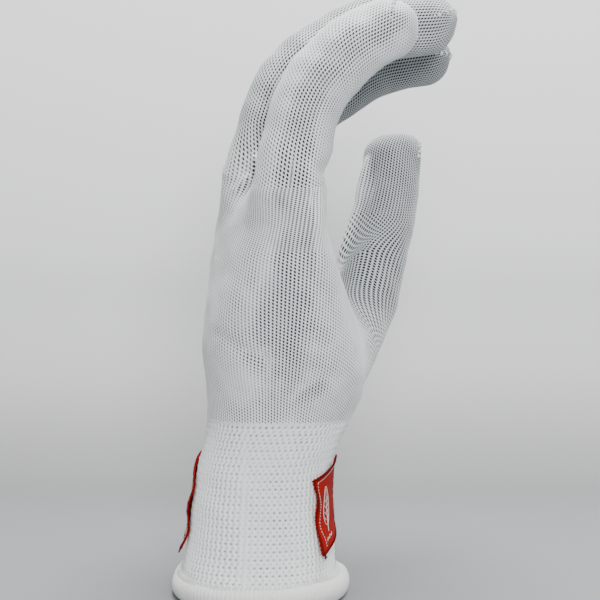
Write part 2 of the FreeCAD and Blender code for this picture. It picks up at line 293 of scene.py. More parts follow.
# ---------------------------------------------------------------- meshes
def grid_normals(grid):
    """Outward normals of a tube grid of rows by columns, where the columns close."""
    across = np.roll(grid, -1, axis=1) - np.roll(grid, 1, axis=1)
    along = np.gradient(grid, axis=0)
    return unit(np.cross(across, along) + 1e-12)


class Builder:
    """Collects vertices and faces, with a stitch coordinate for every corner of a face."""

    def __init__(self):
        self.vertices, self.count = [], 0
        self.loops, self.totals, self.uv = [], [], []

    def points(self, p):
        """Adds points and gives their numbers, arranged as the points are."""
        p = np.asarray(p, float)
        self.vertices.append(p.reshape(-1, 3))
        first = self.count
        self.count += len(self.vertices[-1])
        return np.arange(first, self.count).reshape(p.shape[:-1])

    def faces(self, corners, uv=0.5):
        """corners is faces by corners; uv is faces by corners by 2, or one value for all."""
        corners = np.asarray(corners)
        self.loops.append(corners.ravel())
        self.totals.append(np.full(len(corners), corners.shape[1]))
        self.uv.append(np.broadcast_to(uv, (*corners.shape, 2)).reshape(-1, 2))

    def make(self, name):
        places = np.concatenate(self.vertices) * MM
        loops, totals = np.concatenate(self.loops), np.concatenate(self.totals)
        mesh = bpy.data.meshes.new(name)
        mesh.vertices.add(len(places))
        mesh.vertices.foreach_set("co", places.astype(np.float32).ravel())
        mesh.loops.add(len(loops))
        mesh.loops.foreach_set("vertex_index", loops.astype(np.int32))
        mesh.polygons.add(len(totals))
        starts = np.r_[0, np.cumsum(totals)[:-1]]
        mesh.polygons.foreach_set("loop_start", starts.astype(np.int32))
        mesh.polygons.foreach_set("loop_total", totals.astype(np.int32))
        mesh.polygons.foreach_set("use_smooth", np.ones(len(totals), bool))
        layer = mesh.uv_layers.new(name="stitches")
        layer.data.foreach_set("uv", np.concatenate(self.uv).astype(np.float32).ravel())
        mesh.update(calc_edges=True)
        mesh.validate(clean_customdata=False)
        return linked(bpy.data.objects.new(name, mesh))


def linked(obj):
    bpy.context.collection.objects.link(obj)
    return obj


def tube_faces(builder, index, u, v, flip=False):
    """Quads of a closed tube grid. index is rows by columns, u has one more value than columns."""
    right = np.roll(index, -1, axis=1)
    quads = np.stack([index[:-1], right[:-1], right[1:], index[1:]], axis=-1)
    spans = [(u[:-1], v[:-1]), (u[1:], v[:-1]), (u[1:], v[1:]), (u[:-1], v[1:])]
    uv = np.stack([np.stack(np.meshgrid(a, b), axis=-1) for a, b in spans], axis=-2)
    if flip:
        quads, uv = quads[..., ::-1], uv[..., ::-1, :]
    builder.faces(quads.reshape(-1, 4), uv.reshape(-1, 4, 2))


def edge_strip(builder, outer, inner, step, top):
    """The ring between a border of the outer face and the coarser border of the inner face."""
    wrapped = np.r_[outer, outer[0]]
    faces = []
    for k in range(len(inner)):
        run = list(wrapped[k * step:(k + 1) * step + 1])
        faces.append(run + [inner[(k + 1) % len(inner)], inner[k]])
    builder.faces(np.array(faces)[:, ::-1] if top else faces)


def zipped_end(builder, ring, flip):
    """Closes a flattened last ring, whose first column is at one end of the flat seam."""
    half = len(ring) // 2
    a = ring[:half + 1]
    b = np.r_[ring[0], ring[::-1]][:half + 1]
    between = np.stack([a[1:-2], a[2:-1], b[2:-1], b[1:-2]], axis=-1)
    for faces in ([[a[0], a[1], b[1]]], between, [[a[-2], a[-1], b[-2]]]):
        builder.faces(np.array(faces)[:, ::-1] if flip else faces)


def knit_relief(u, v):
    """How deep each point of the plain knit lies between the tops of the stitches, and in the
    small hole beside each stitch, from 0 to 1. Holes of neighbouring wales are half a stitch
    apart."""
    edge = np.floor(u + 0.5)
    across = np.abs(u - edge)
    along = (v + 0.5 * (edge % 2)) % 1.0 - 0.5
    valley, hole = hump((across, 0.20)), hump((across, 0.24), (along, 0.26))
    loop = 0.5 + 0.5 * np.cos(2 * np.pi * (v + 0.5 * (np.floor(u) % 2)))
    return 0.7 * valley + 0.3 * loop * (1 - valley), hole


def cuff_relief(u, v):
    """The same for the ribbed knit, which has a large hole beside each rib and a small one in
    the middle of it."""
    x, y = u % 1.0, v % 1.0
    rib = 0.5 + 0.5 * np.cos(2 * np.pi * (x - 0.5))
    loop = 0.5 + 0.5 * np.cos(4 * np.pi * (y + 0.06 * np.sin(2 * np.pi * x)))
    large = hump((np.minimum(x, 1 - x), 0.22), (y - 0.5, 0.13))
    small = hump((x - 0.5, 0.17), (np.minimum(y, 1 - y), 0.11))
    return 1 - rib * (0.60 + 0.40 * loop), np.maximum(large, 0.6 * small)


# Folds on the little finger's side: the line in X and Z, its half width and its height.
NEAR_FOLDS = [
    ([(-12.0, 83.0), (-6.0, 79.0), (1.5, 75.5)], 1.9, -0.75),
    ([(-5.5, 70.0), (-4.0, 69.5)], 6.5, 0.80),
    ([(-14.0, 87.0), (-12.5, 84.5)], 6.0, 0.45),
    ([(1.0, 77.0), (1.6, 70.0), (0.6, 63.5)], 1.5, -0.45),
    ([(4.4, 76.0), (5.2, 70.0), (4.0, 64.0)], 1.6, 0.30),
    ([(17.6, 69.5), (14.0, 66.5), (10.5, 62.5)], 2.0, -0.40),
    ([(21.5, 66.5), (17.0, 62.0)], 2.2, 0.30),
    ([(-15.5, 124.0), (-15.0, 110.0), (-16.5, 99.0)], 4.5, -0.70),
    ([(-7.8, 127.6), (-4.5, 130.6), (-1.8, 131.6), (-1.4, 137.0)], 1.2, 0.85),
    ([(-11.0, 129.0), (-6.5, 133.5), (-4.6, 139.0)], 2.0, -0.70),
    ([(27.0, 118.0), (23.0, 104.0), (24.0, 92.0)], 3.2, 0.35),
    ([(16.0, 112.0), (17.5, 98.0), (15.0, 84.0)], 6.0, -0.35),
]
# The same for the pucker at the little finger's root, which runs on round its palm side.
ROOT_FOLDS = [
    ([(25.0, 139.5), (24.0, 138.0)], 1.9, 1.9),
    ([(20.5, 131.5), (21.5, 131.0)], 2.6, -1.4),
]
# Folds of the thumb: height range, direction from its middle line, half width and height.
THUMB_FOLDS = [
    ((104.0, 150.0), (-0.87, -0.50), 2.0, 1.9),
    ((107.0, 147.0), (-0.60, -0.80), 1.2, -1.2),
]


def thumb_fold_line(heights, way):
    """A line on the thumb's side, on the given side of its middle line."""
    z = np.linspace(*heights, 9)
    corners = np.array([thumb_swing, thumb_end, THUMB_TIP])
    radius = np.interp(z, corners[:, 2], THUMB_RADII)
    return placed(z, corners[:, 2], corners) + radius[:, None] * unit(np.array((*way, 0.0)))


def shape_of_folds(p, normals):
    """Height of the folds of the worn fabric above its smooth shape."""
    x, y, z = p[..., 0], p[..., 1], p[..., 2]
    a = np.sin(0.31 * x + 0.23 * y + 0.17 * z) * np.sin(0.19 * z - 0.11 * y + 1.3)
    b = np.sin(0.55 * z + 0.21 * x + 0.7) * np.sin(0.37 * y + 0.29 * x + 2.1)
    height = 0.18 * a + 0.10 * b
    near = smooth(-12.0, -22.0, y) * smooth(-0.05, -0.45, normals[..., 1])
    round_edge = smooth(-20.0, -26.0, y)
    for folds, here in ((NEAR_FOLDS, near), (ROOT_FOLDS, round_edge)):
        for line, width, rise in folds:
            height = height + rise * here * hump((line_distance(p[..., [0, 2]], line), width))
    for heights, way, width, rise in THUMB_FOLDS:
        here = smooth(heights[0], heights[0] + 7, z) * smooth(heights[1], heights[1] - 14, z)
        fold = hump((line_distance(p, thumb_fold_line(heights, way)), width))
        height = height + rise * here * fold
    return height


def how_open_and_shaded(p, normals):
    """How stretched the knit is, so how dark its holes are, with painted shade added as extra
    openness on the thumb, between the fingers and at their tips.
    """
    x, y, z = p[..., 0], p[..., 1], p[..., 2]
    # More open on the thumb, on the sides between the fingers and at their tips, where the knit is
    # stretched; the extra there is also painted shade, for the shade that falls on them.
    thumb = smooth(16.0, 28.0, x) * smooth(10.0, 30.0, y) * smooth(72.0, 96.0, z)
    fingers = smooth(132.0, 150.0, z)
    inner = smooth(-22.6, -20.6, y) * fingers
    tips = smooth(44.0, 54.0, x) * fingers
    value = 0.74 + 0.80 * thumb + 0.44 * inner + 0.14 * tips
    facing = np.maximum(smooth(0.15, 0.8, np.abs(normals[..., 1])), inner)
    value = value * (0.70 + 0.30 * facing)
    # Tight on the broadest fold of the little finger's side, open along its outermost strip.
    broadest = hump((line_distance(p[..., [0, 2]], NEAR_FOLDS[1][0]), 7.0))
    value = value * (1 - 0.45 * broadest * smooth(-12.0, -22.0, y))
    strip = smooth(-16.0, -22.0, y) * smooth(0.84, 0.99, -normals[..., 1])
    value = value + 0.42 * strip * smooth(56.0, 66.0, z)
    # Tight on the thumb's fold, even where the hand meets the cuff, tight on one rib there.
    heights, way, width, _ = THUMB_FOLDS[0]
    fold = hump((line_distance(p, thumb_fold_line(heights, way)), 1.3 * width))
    value = value * (1 - 0.85 * fold)
    meeting = smooth(46.0, 55.5, z) * smooth(66.0, 57.5, z)
    value = value + (0.85 - value) * 0.7 * meeting
    rib = hump((x + 4.6, 1.2)) * smooth(60.0, 50.0, z) * smooth(-14.0, -22.0, y)
    value = value * (1 - 0.8 * rib)
    return np.clip(value + 0.06 * np.sin(0.5 * x + 0.4 * z) * np.sin(0.33 * z - 0.2 * x), 0, 1.5)


PLAIN = dict(wall=KNIT_WALL, relief=knit_relief, depth=RELIEF, hole_depth=HOLE_RELIEF)
RIBBED = dict(wall=CUFF_WALL, relief=cuff_relief, depth=CUFF_RELIEF, hole_depth=CUFF_HOLE_RELIEF)
skins = {}


def add_skin(name, grid, v, knit=PLAIN, per_cell=COLUMNS_PER_WALE, first=0, fade=(0.0, 0.0)):
    """A knitted surface. grid is rows by columns of the smooth outer surface, wound so that its
    normals point out. v counts the stitches along it, and fade is how many of them the relief
    takes to grow at its bottom and at its top. Surfaces that meet share their borders' points."""
    u = np.arange(grid.shape[1] + 1) / per_cell + first
    skins[name] = dict(knit, grid=grid, u=u, v=v, fade=fade)


def shared_normals(grids):
    """Normals of each grid, the same on both sides wherever two grids meet."""
    normals = [grid_normals(g) for g in grids]
    borders = [(k, row) for k in range(len(grids)) for row in (0, -1)]
    points = np.concatenate([grids[k][row] for k, row in borders])
    key = np.round(points * 40 + 0.137).astype(np.int64)
    _, group = np.unique(key, axis=0, return_inverse=True)
    group = group.ravel()
    total = np.zeros((group.max() + 1, 3))
    np.add.at(total, group, np.concatenate([normals[k][row] for k, row in borders]))
    mean = unit(total)[group]
    first = 0
    for k, row in borders:
        count = grids[k].shape[1]
        normals[k][row] = mean[first:first + count]
        first += count
    return normals


def knit_skins():
    """Adds folds and stitches to all the surfaces together, so that they still meet."""
    grids = [skin["grid"] for skin in skins.values()]
    normals = shared_normals(grids)
    plain = [g + n * shape_of_folds(g, n)[..., None] for g, n in zip(grids, normals)]
    normals = shared_normals(plain)
    outer = []
    for skin, face, normal in zip(skins.values(), plain, normals):
        u, v = skin["u"], skin["v"]
        # The openness also carries painted shade, which the shader reads from its attribute.
        knit_open_and_shaded = how_open_and_shaded(face, normal)
        low, hole = skin["relief"](*np.meshgrid(u[:-1], v))
        drop = skin["depth"] * low + skin["hole_depth"] * hole * np.minimum(knit_open_and_shaded, 1)
        keep = np.ones(len(v))
        for reach, away in zip(skin["fade"], (v - v[0], v[-1] - v)):
            if reach:
                keep = keep * smooth(0, reach, away)
        skin["open"] = knit_open_and_shaded * keep[:, None]
        skin["plain"], skin["plain_normals"] = face, normal
        outer.append(face - normal * (drop * keep[:, None])[..., None])
    for skin, face, normal in zip(skins.values(), outer, shared_normals(outer)):
        skin["outer"], skin["normals"] = face, normal


def values_of(items, name, kind, width=1):
    values = np.empty(len(items) * width, kind)
    items.foreach_get(name, values)
    return values


def piece_of_skin(piece_name, skin_name, first=0, last=None, lined=None):
    """The rows from first to last of a surface as one closed piece of fabric. A tip ends in a
    flat seam, and lined is the share of its rows that the inner face has."""
    skin = skins[skin_name]
    rows = slice(first, None if last is None else last + 1)
    outer, v, u = skin["outer"][rows], skin["v"][rows], skin["u"]
    builder = Builder()
    index = builder.points(outer)
    count = builder.count
    tube_faces(builder, index, u, v)
    end = int(len(v) * lined) if lined else len(v) - 1
    picks = np.unique(np.r_[np.arange(0, end, INNER_ROWS), end])
    inner_normals = skin["plain_normals"][rows][picks]
    inner = skin["plain"][rows][picks] - inner_normals * skin["wall"]
    inside = builder.points(inner[:, ::INNER_STEP])
    tube_faces(builder, inside, u[::INNER_STEP], v[picks], flip=True)
    edge_strip(builder, index[0], inside[0], INNER_STEP, top=False)
    if lined:
        zipped_end(builder, index[-1], flip=False)
        zipped_end(builder, inside[-1], flip=True)
    else:
        edge_strip(builder, index[-1], inside[-1], INNER_STEP, top=True)
    obj = builder.make(piece_name)
    mesh = obj.data
    # The openness, with its painted shade, goes to the shader.
    open_and_shaded_values = np.full(len(mesh.vertices), 0.5)
    open_and_shaded_values[:count] = skin["open"][rows].ravel()
    mesh.attributes.new("openness_and_shade", "FLOAT", "POINT").data.foreach_set("value", open_and_shaded_values)
    # Rims and seams, between the outer and the inner face, are flat; the rest is smooth.
    at_corner = values_of(mesh.loops, "vertex_index", np.int32)
    starts = values_of(mesh.polygons, "loop_start", np.int32)
    totals = values_of(mesh.polygons, "loop_total", np.int32)
    corners_outside = np.add.reduceat((at_corner < count).astype(np.int32), starts)
    border = (corners_outside > 0) & (corners_outside < totals)
    mesh.polygons.foreach_set("use_smooth", ~border)
    of_vertex = np.concatenate([skin["normals"][rows].reshape(-1, 3),
                                -inner_normals[:, ::INNER_STEP].reshape(-1, 3)])
    of_corner = of_vertex[at_corner].astype(np.float32)
    of_face = values_of(mesh.polygons, "normal", np.float32, 3).reshape(-1, 3)
    on_border = np.repeat(border, totals)
    of_corner[on_border] = np.repeat(of_face, totals, axis=0)[on_border]
    mesh.normals_split_custom_set(of_corner)
    return obj


# ---------------------------------------------------------------- rings of the hand
def ring_line(z, start, end, count=400):
    """Points round the hand at height z, between two directions in degrees. 0 is the palm side,
    90 the thumb side."""
    angle = np.radians(np.linspace(start, end, count))
    z = np.broadcast_to(z, angle.shape).astype(float)
    centre, depth, width, lean = section_at(z)
    c, s = np.cos(angle), np.sin(angle)
    r = 1 / reach_of(c, s, depth, width)
    return np.stack([centre + r * c + leaned(lean, r * s), r * s, z], axis=-1)


def level_ring(z):
    """The whole ring at one height of the cuff, with the thumb's swell where it starts."""
    line = ring_line(z, RING_START, RING_START + 360.0, 800)
    if z > SWELL_Z:
        line = settled(line)
        line[:, 2] = z
    return line


def web_line(count):
    """The crotch between the thumb and the hand, from its palm end to its back end."""
    hand_side = np.array(WEB_PLACE)
    centre = thumb_swing + (thumb_end - thumb_swing) * 0.45
    toward = unit(centre[:2] - hand_side)
    across = np.array((-toward[1], toward[0]))
    line = []
    for offset in np.linspace(-WEB_HALF, WEB_HALF, 13):
        flat = hand_side + across * offset + toward * np.linspace(-6, 26, 65)[:, None]
        low, high = WEB_HEIGHTS
        for _ in range(22):
            z = (low + high) / 2
            points = np.c_[flat, np.full(len(flat), z)]
            if surface(points).max() > 0:
                high = z
            else:
                low = z
        line.append(points[surface(points).argmax()])
    return settled(evenly(settled(line), count))


web = web_line(WEB_COLUMNS)
web_front, web_back = web[0], web[-1]


def thumb_frame(direction):
    side = unit(-thumb_axis - direction * (-thumb_axis @ direction))
    return np.cross(side, direction), side


thumb_root = thumb_swing + (thumb_end - thumb_swing) * THUMB_ROOT_SHARE
root_front, root_side = thumb_frame(unit(thumb_end - thumb_swing))


def thumb_bearing(p):
    """Direction round the thumb's middle line at its root."""
    return np.arctan2((p - thumb_root) @ root_side, (p - thumb_root) @ root_front)


def spread(line, count, anchors):
    """Points along a line whose spacing follows anchors of (share of the points, share of the
    line), so that the wales above and below run straight."""
    x, y = np.array([(0.0, 0.0)] + anchors + [(1.0, 1.0)]).T
    return resampled(line, cubic(np.linspace(0, 1, count + 1), x, y))


def share_at(line, x):
    """How far along a line it passes the given X on the little finger's side."""
    run = run_of(line)
    far = np.where(line[:, 1] < LITTLE_SIDE_Y, np.abs(line[:, 0] - x), 1e9)
    return run[far.argmin()] / run[-1]


def tied(line, first, last, first_reach, last_start):
    """A line laid on the surface, with its ends drawn to the given points."""
    share = np.linspace(0, 1, len(line))
    near_first = smooth(first_reach, 0.0, share)[:, None]
    near_last = smooth(last_start, 1.0, share)[:, None]
    line = settled(line + near_first * (first - line[0]) + near_last * (last - line[-1]))
    line[0], line[-1] = first, last
    return line


def palm_arc():
    """The hand's own part of the ring at the height of the thumb's crotch, from the back end of
    the web, over the back of the hand and the palm, to the web's palm end."""
    start = math.degrees(math.atan2(web_back[1], web_back[0] - 3.0))
    end = 360 + math.degrees(math.atan2(web_front[1], web_front[0] - 3.0))
    share = np.linspace(0, 1, 400)
    rise = np.maximum(1 - share / 0.22, 0) ** 2 * (web_back[2] - CROTCH_Z)
    rise += np.maximum((share - 0.80) / 0.20, 0) ** 2 * (web_front[2] - CROTCH_Z)
    line = tied(ring_line(CROTCH_Z + rise, start, end), web_back, web_front, 0.10, 0.93)
    return spread(line, PALM_ARC_COLUMNS, [(0.5, share_at(line, MIDDLE_WALE_X[1]))])


def thumb_arc():
    """The thumb's part of that ring, from the web's palm end round the thumb to its back end."""
    start, end = thumb_bearing(web_front), thumb_bearing(web_back)
    if end < start:
        end += 2 * math.pi
    angle = np.linspace(start, end, 300)[:, None]
    line = thumb_root + THUMB_RADII[0] * (np.cos(angle) * root_front + np.sin(angle) * root_side)
    return evenly(tied(line, web_front, web_back, 0.16, 0.84), THUMB_ARC_COLUMNS)


palm_ring = palm_arc()
thumb_ring = thumb_arc()


# ---------------------------------------------------------------- fingers
finger_joints = {n: [joint(f"{n}_{k}_bend")[0] for k in ("knuckle", "middle", "tip")]
                 for n in FINGERS}
# Directions round a finger, with the palm side at 0 and the thumb side at 90 degrees.
finger_angles = np.radians(-90.0 + 360.0 * np.arange(FINGER_COLUMNS) / FINGER_COLUMNS)


def root_height(y):
    return cubic(y, ROOT_LINE[:, 0], ROOT_LINE[:, 1])


def root_ring(name):
    """The ring where a finger leaves the hand. Column 0 is the middle of the side that faces
    the little finger's edge of the hand."""
    x0, y0 = FINGER_ROOT_X[name], finger_joints[name][0][1]
    place = FINGERS.index(name)
    c, s = np.cos(finger_angles), np.sin(finger_angles)
    slope = c / np.maximum(np.abs(s), 0.5)
    x, y = x0 + ROOT_DEPTH * c, y0 + HALF_PITCH * s
    for sign, other in ((-1, place - 1), (1, place + 1)):
        if not 0 <= other < len(FINGERS):
            continue
        middle_x = (x0 + FINGER_ROOT_X[FINGERS[other]]) / 2
        mine = s * sign > 0
        beside = mine & (np.abs(s) >= CORNER_SINE - 1e-9)
        over = mine & ~beside
        share = np.clip(np.abs(s) / CORNER_SINE, 0, 1)
        x = np.where(beside, middle_x + HALF_PITCH * slope, x)
        y = np.where(beside, y0 + sign * HALF_PITCH, y)
        corner_x = middle_x + np.sign(c) * CORNER
        crest_x = x0 + np.sign(c) * ROOT_DEPTH
        x = np.where(over, crest_x + (corner_x - crest_x) * share ** 2.2, x)
        y = np.where(over, y0 + sign * HALF_PITCH * share, y)
    between = np.abs(np.abs(y - y0) - HALF_PITCH) < 1e-6
    drop = np.where(between, ROOT_DROP * (slope / 0.577) ** 2, ROOT_DROP)
    return np.stack([x, y, root_height(y) - drop], axis=-1)


def rounded_line(points, reach=12.0, step=0.25):
    """A line through the points whose corners are rounded, as points a step apart, and how far
    along it each of the given points is."""
    line = [points[0]]
    for a, b, c in zip(points, points[1:], points[2:]):
        before, after = np.linalg.norm(b - a), np.linalg.norm(c - b)
        t = min(reach, 0.49 * before, 0.49 * after)
        p, q = b - (b - a) / before * t, b + (c - b) / after * t
        s = np.linspace(0, 1, 24)[:, None]
        line += list((1 - s) ** 2 * p + 2 * s * (1 - s) * b + s * s * q)
    line = np.array(line + [points[-1]])
    line = evenly(line, int(run_of(line)[-1] / step))
    run = run_of(line)
    marks = [run[np.linalg.norm(line - p, axis=1).argmin()] for p in points]
    return line, run, np.array(marks)


class Tube:
    """A finger's or the thumb's smooth surface, from its root ring to its closed tip."""

    def __init__(self, root, line_points, radii, side_of, angles, settle_root=False):
        self.root, self.angles, self.side_of = root, angles, side_of
        self.line, self.run, self.marks = rounded_line(line_points)
        self.radii = np.array(radii)
        self.tip_radius = radii[-1]
        self.body_length = self.run[-1]
        self.length = self.body_length + self.tip_radius * math.pi / 2
        self.settle_root = settle_root

    def point(self, s):
        return placed(s, self.run, self.line)

    def direction(self, s):
        return unit(self.point(np.minimum(s + 1.0, self.body_length)) -
                    self.point(np.maximum(s - 1.0, 0.0)))

    def rows(self, s):
        """The ring of points at every distance s from the root, along the middle line."""
        body = np.minimum(s, self.body_length)
        centre, along = self.point(body), self.direction(body)
        side = np.array([self.side_of(d) for d in along])
        front = np.cross(side, along)
        radius = cubic(body, self.marks, self.radii)
        # Past the body the ring flattens into the closed seam of the tip.
        turn = np.clip((s - self.body_length) / self.tip_radius, 0, math.pi / 2)
        q = np.sin(turn)
        centre = centre + along * (q * self.tip_radius)[:, None]
        thick = radius * np.maximum(np.cos(turn), SEAM_THICKNESS)
        wide = radius * (0.50 + 0.50 * np.sqrt(np.clip(1 - q ** 3.2, 0, 1)))
        c, sn = np.cos(self.angles), np.sin(self.angles)
        ring = (centre[:, None] + (thick[:, None] * c)[..., None] * front[:, None] +
                (wide[:, None] * sn)[..., None] * side[:, None])
        # Near the root it comes from the ring where it leaves the hand.
        m = smooth(0.0, ROOT_REACH, s)[:, None, None]
        lifted = self.root[None] + along[0] * s[:, None, None]
        out = lifted * (1 - m) + ring * m
        if self.settle_root:
            near = s < 16.0
            hold = smooth(16.0, 3.0, s[near])[:, None, None]
            out[near] = out[near] + (settled(out[near]) - out[near]) * hold
            out[0] = self.root
        return out


def finger_tube(name):
    ring = root_ring(name)
    root = np.array((FINGER_ROOT_X[name], ring[:, 1].mean(), ring[:, 2].mean()))
    x, z = TIP_CENTRE[name]
    points = [root] + finger_joints[name] + [np.array((x, root[1], z))]
    return Tube(ring, points, FINGER_RADII[name], lambda d: np.array((0.0, 1.0, 0.0)),
                finger_angles)


def thumb_tube():
    """The thumb's columns start at the palm end of the web and go round the outside."""
    ring = np.concatenate([thumb_ring[:-1], web[:0:-1]])
    bearing = np.unwrap(thumb_bearing(ring))
    even = bearing[0] + 2 * math.pi * np.arange(len(ring)) / len(ring)
    even = even + (bearing - even).mean()
    points = [thumb_root, thumb_end, np.array(THUMB_TIP)]
    return Tube(ring, points, (THUMB_ROOT_RADIUS, *THUMB_RADII[1:]),
                lambda d: thumb_frame(d)[1], even, settle_root=True)


# ---------------------------------------------------------------- materials
def feed(tree, socket, value):
    """Links an output to a socket, or sets the socket to a plain value."""
    if hasattr(value, "is_output"):
        tree.links.new(value, socket)
    else:
        socket.default_value = value


def node(tree, kind, **inputs):
    made = tree.nodes.new(kind)
    for key, value in inputs.items():
        feed(tree, made.inputs[key.replace("_", " ")], value)
    return made


def maths(tree, operation, *values):
    made = tree.nodes.new("ShaderNodeMath")
    made.operation = operation
    for socket, value in zip(made.inputs, values):
        feed(tree, socket, value)
    return made.outputs[0]


def mapped(tree, value, **limits):
    return node(tree, "ShaderNodeMapRange", Value=value, **limits).outputs[0]


def mixed(tree, share, first, second, way="MIX"):
    """One colour turned into another. Inputs 0, 6 and 7 are the share and the two colours."""
    made = tree.nodes.new("ShaderNodeMix")
    made.data_type = "RGBA"
    made.blend_type = way
    for i, value in ((0, share), (6, first), (7, second)):
        feed(tree, made.inputs[i], value)
    return made.outputs[2]


def mixed_shader(tree, share, first, second, output):
    """One shader or the other, as the share says, on the surface of the output."""
    made = tree.nodes.new("ShaderNodeMixShader")
    for socket, value in zip(made.inputs, (share, first, second)):
        tree.links.new(value, socket)
    tree.links.new(made.outputs[0], tree.nodes[output].inputs["Surface"])


def material(name, colour, rough):
    mat = bpy.data.materials.new(name)
    mat.use_nodes = True
    shader = mat.node_tree.nodes["Principled BSDF"]
    shader.inputs["Base Color"].default_value = (*colour, 1)
    shader.inputs["Roughness"].default_value = rough
    return mat, mat.node_tree, shader


def noise(tree, scale, detail):
    where = tree.nodes.new("ShaderNodeTexCoord").outputs["Object"]
    made = node(tree, "ShaderNodeTexNoise", Vector=where, Scale=scale, Detail=detail)
    return made.outputs["Fac"]


def fibres(tree, shader, scale, detail, strength, distance):
    """Fine fibres that roughen the surface. Gives their pattern."""
    pattern = noise(tree, scale, detail)
    rise = node(tree, "ShaderNodeBump", Strength=strength, Distance=distance, Height=pattern)
    tree.links.new(rise.outputs[0], shader.inputs["Normal"])
    return pattern


def blob(tree, x, y, centre, size):
    """1 inside a small ellipse in each stitch and 0 outside it."""
    squares = []
    for value, middle, radius in zip((x, y), centre, size):
        share = maths(tree, "FRACT", maths(tree, "ADD", value, 0.5 - middle))
        away = maths(tree, "DIVIDE", maths(tree, "SUBTRACT", share, 0.5), radius)
        squares.append(maths(tree, "MULTIPLY", away, away))
    r = maths(tree, "ADD", *squares)
    return maths(tree, "SUBTRACT", 1.0, maths(tree, "SMOOTH_MIN", r, 1.0, 0.6))


def knit_material(name, colour, holes, hole_shade_colour, fibre_scale, bump):
    """Matt yarn with holes between the stitches, painted near black as the shade inside the glove
    seen through them. holes are (centre, size, strength, step, slant) in a stitch, whose
    coordinates are in the UV map named stitches. Where step is 0.5, the holes of neighbouring wales
    are half a stitch apart."""
    mat, tree, shader = material(name, colour, 0.86)
    uv = tree.nodes.new("ShaderNodeUVMap")
    uv.uv_map = "stitches"
    x, y, _ = node(tree, "ShaderNodeSeparateXYZ", Vector=uv.outputs[0]).outputs
    edge = maths(tree, "FLOOR", maths(tree, "ADD", x, 0.5))
    odd = maths(tree, "MODULO", edge, 2.0)
    # Painted shade: each hole mixes the yarn's colour toward the near-black hole colour, for the
    # dim inside seen through it.
    dark = 0.0
    for centre, size, strength, step, slant in holes:
        moved = maths(tree, "MULTIPLY_ADD", odd, step, y)
        moved = maths(tree, "MULTIPLY_ADD", maths(tree, "SUBTRACT", x, edge), slant, moved)
        hole = maths(tree, "MULTIPLY", blob(tree, x, moved, centre, size), strength)
        dark = maths(tree, "MAXIMUM", dark, hole)
    stretch_and_shade = tree.nodes.new("ShaderNodeAttribute")
    stretch_and_shade.attribute_name = "openness_and_shade"
    stretch_and_shade = stretch_and_shade.outputs["Fac"]
    dark = maths(tree, "MULTIPLY", dark, stretch_and_shade)
    vary = mapped(tree, noise(tree, 160.0, 3.0), From_Min=0.3, From_Max=0.7, To_Min=0.60,
                  To_Max=1.05)
    dark = maths(tree, "MINIMUM", maths(tree, "MULTIPLY", dark, vary), 1.0)
    look = mixed(tree, dark, (*colour, 1), (*hole_shade_colour, 1))
    look = mixed(tree, noise(tree, 35.0, 2.0), look, (0.93, 0.945, 0.955, 1), "MULTIPLY")
    # Painted shade: where the openness is highest, on the thumb, between the fingers and at the
    # tips, the colour is multiplied toward dark grey, for the dark inside seen through the
    # stretched knit and for the shade that falls there.
    thin = mapped(tree, stretch_and_shade, From_Min=0.85, From_Max=1.50, To_Max=0.46)
    look = mixed(tree, thin, look, (0.20, 0.23, 0.25, 1), "MULTIPLY")
    tree.links.new(look, shader.inputs["Base Color"])
    fibres(tree, shader, fibre_scale, 4.0, bump, 0.0004)
    shader.inputs["Sheen Weight"].default_value = 0.2
    shader.inputs["Sheen Roughness"].default_value = 0.5
    shader.inputs["Specular IOR Level"].default_value = 0.2
    return mat


def yarn_material(name, colour, rough=0.8, twist=2200.0, sheen=0.15):
    mat, tree, shader = material(name, colour, rough)
    pattern = fibres(tree, shader, twist, 3.0, 0.4, 0.0003)
    dark = tuple(0.72 * c for c in colour)
    look = mixed(tree, pattern, (*dark, 1), (*colour, 1))
    tree.links.new(look, shader.inputs["Base Color"])
    shader.inputs["Sheen Weight"].default_value = sheen
    shader.inputs["Specular IOR Level"].default_value = 0.12
    return mat


# The fourth value of each knit is the colour of its holes: painted shade of the inside seen through
# them.
plain_knit = knit_material(
    "plain_knit", (0.81, 0.83, 0.84),
    [((0.0, 0.5), (0.37, 0.42), 1.7, 0.5, 0.45)], (0.012, 0.014, 0.016), 2600.0, 0.35)
rib_knit = knit_material(
    "rib_knit", (0.85, 0.86, 0.865),
    [((0.0, 0.5), (0.27, 0.19), 1.2, 0.0, 0.0), ((0.5, 0.0), (0.22, 0.15), 0.8, 0.0, 0.0)],
    (0.05, 0.055, 0.06), 1700.0, 0.5)
white_yarn = yarn_material("white_yarn", (0.80, 0.80, 0.79))
hem_yarn = yarn_material("hem_yarn", (0.82, 0.82, 0.80), 0.85, 1500.0)
red_cloth = yarn_material("red_label_cloth", (0.36, 0.003, 0.0015), 0.8, 2600.0, 0.0)
dark_red_yarn = yarn_material("label_edge_yarn", (0.13, 0.003, 0.003), 0.8, 2200.0, 0.0)
motif_yarn = yarn_material("label_motif_yarn", (0.72, 0.62, 0.58), 0.8, 2200.0, 0.0)
rubber = yarn_material("elastic_rubber", (0.80, 0.79, 0.75), 0.55)


def finish_piece(obj, mat, replaced):
    obj.data.materials.append(mat)
    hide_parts(*replaced)
    return obj


# ---------------------------------------------------------------- the pieces of the glove
def course_rows(length, pitch, per_course):
    """Distances of the rows along a tube, and their stitch coordinate."""
    courses = max(1, round(length / pitch))
    v = np.arange(courses * per_course + 1) / per_course
    return v / courses * length, v


def row_at(s, place):
    """The row at the end of a stitch nearest to a place, where s are the rows' distances."""
    return int(round(np.searchsorted(s, place) / ROWS_PER_COURSE)) * ROWS_PER_COURSE


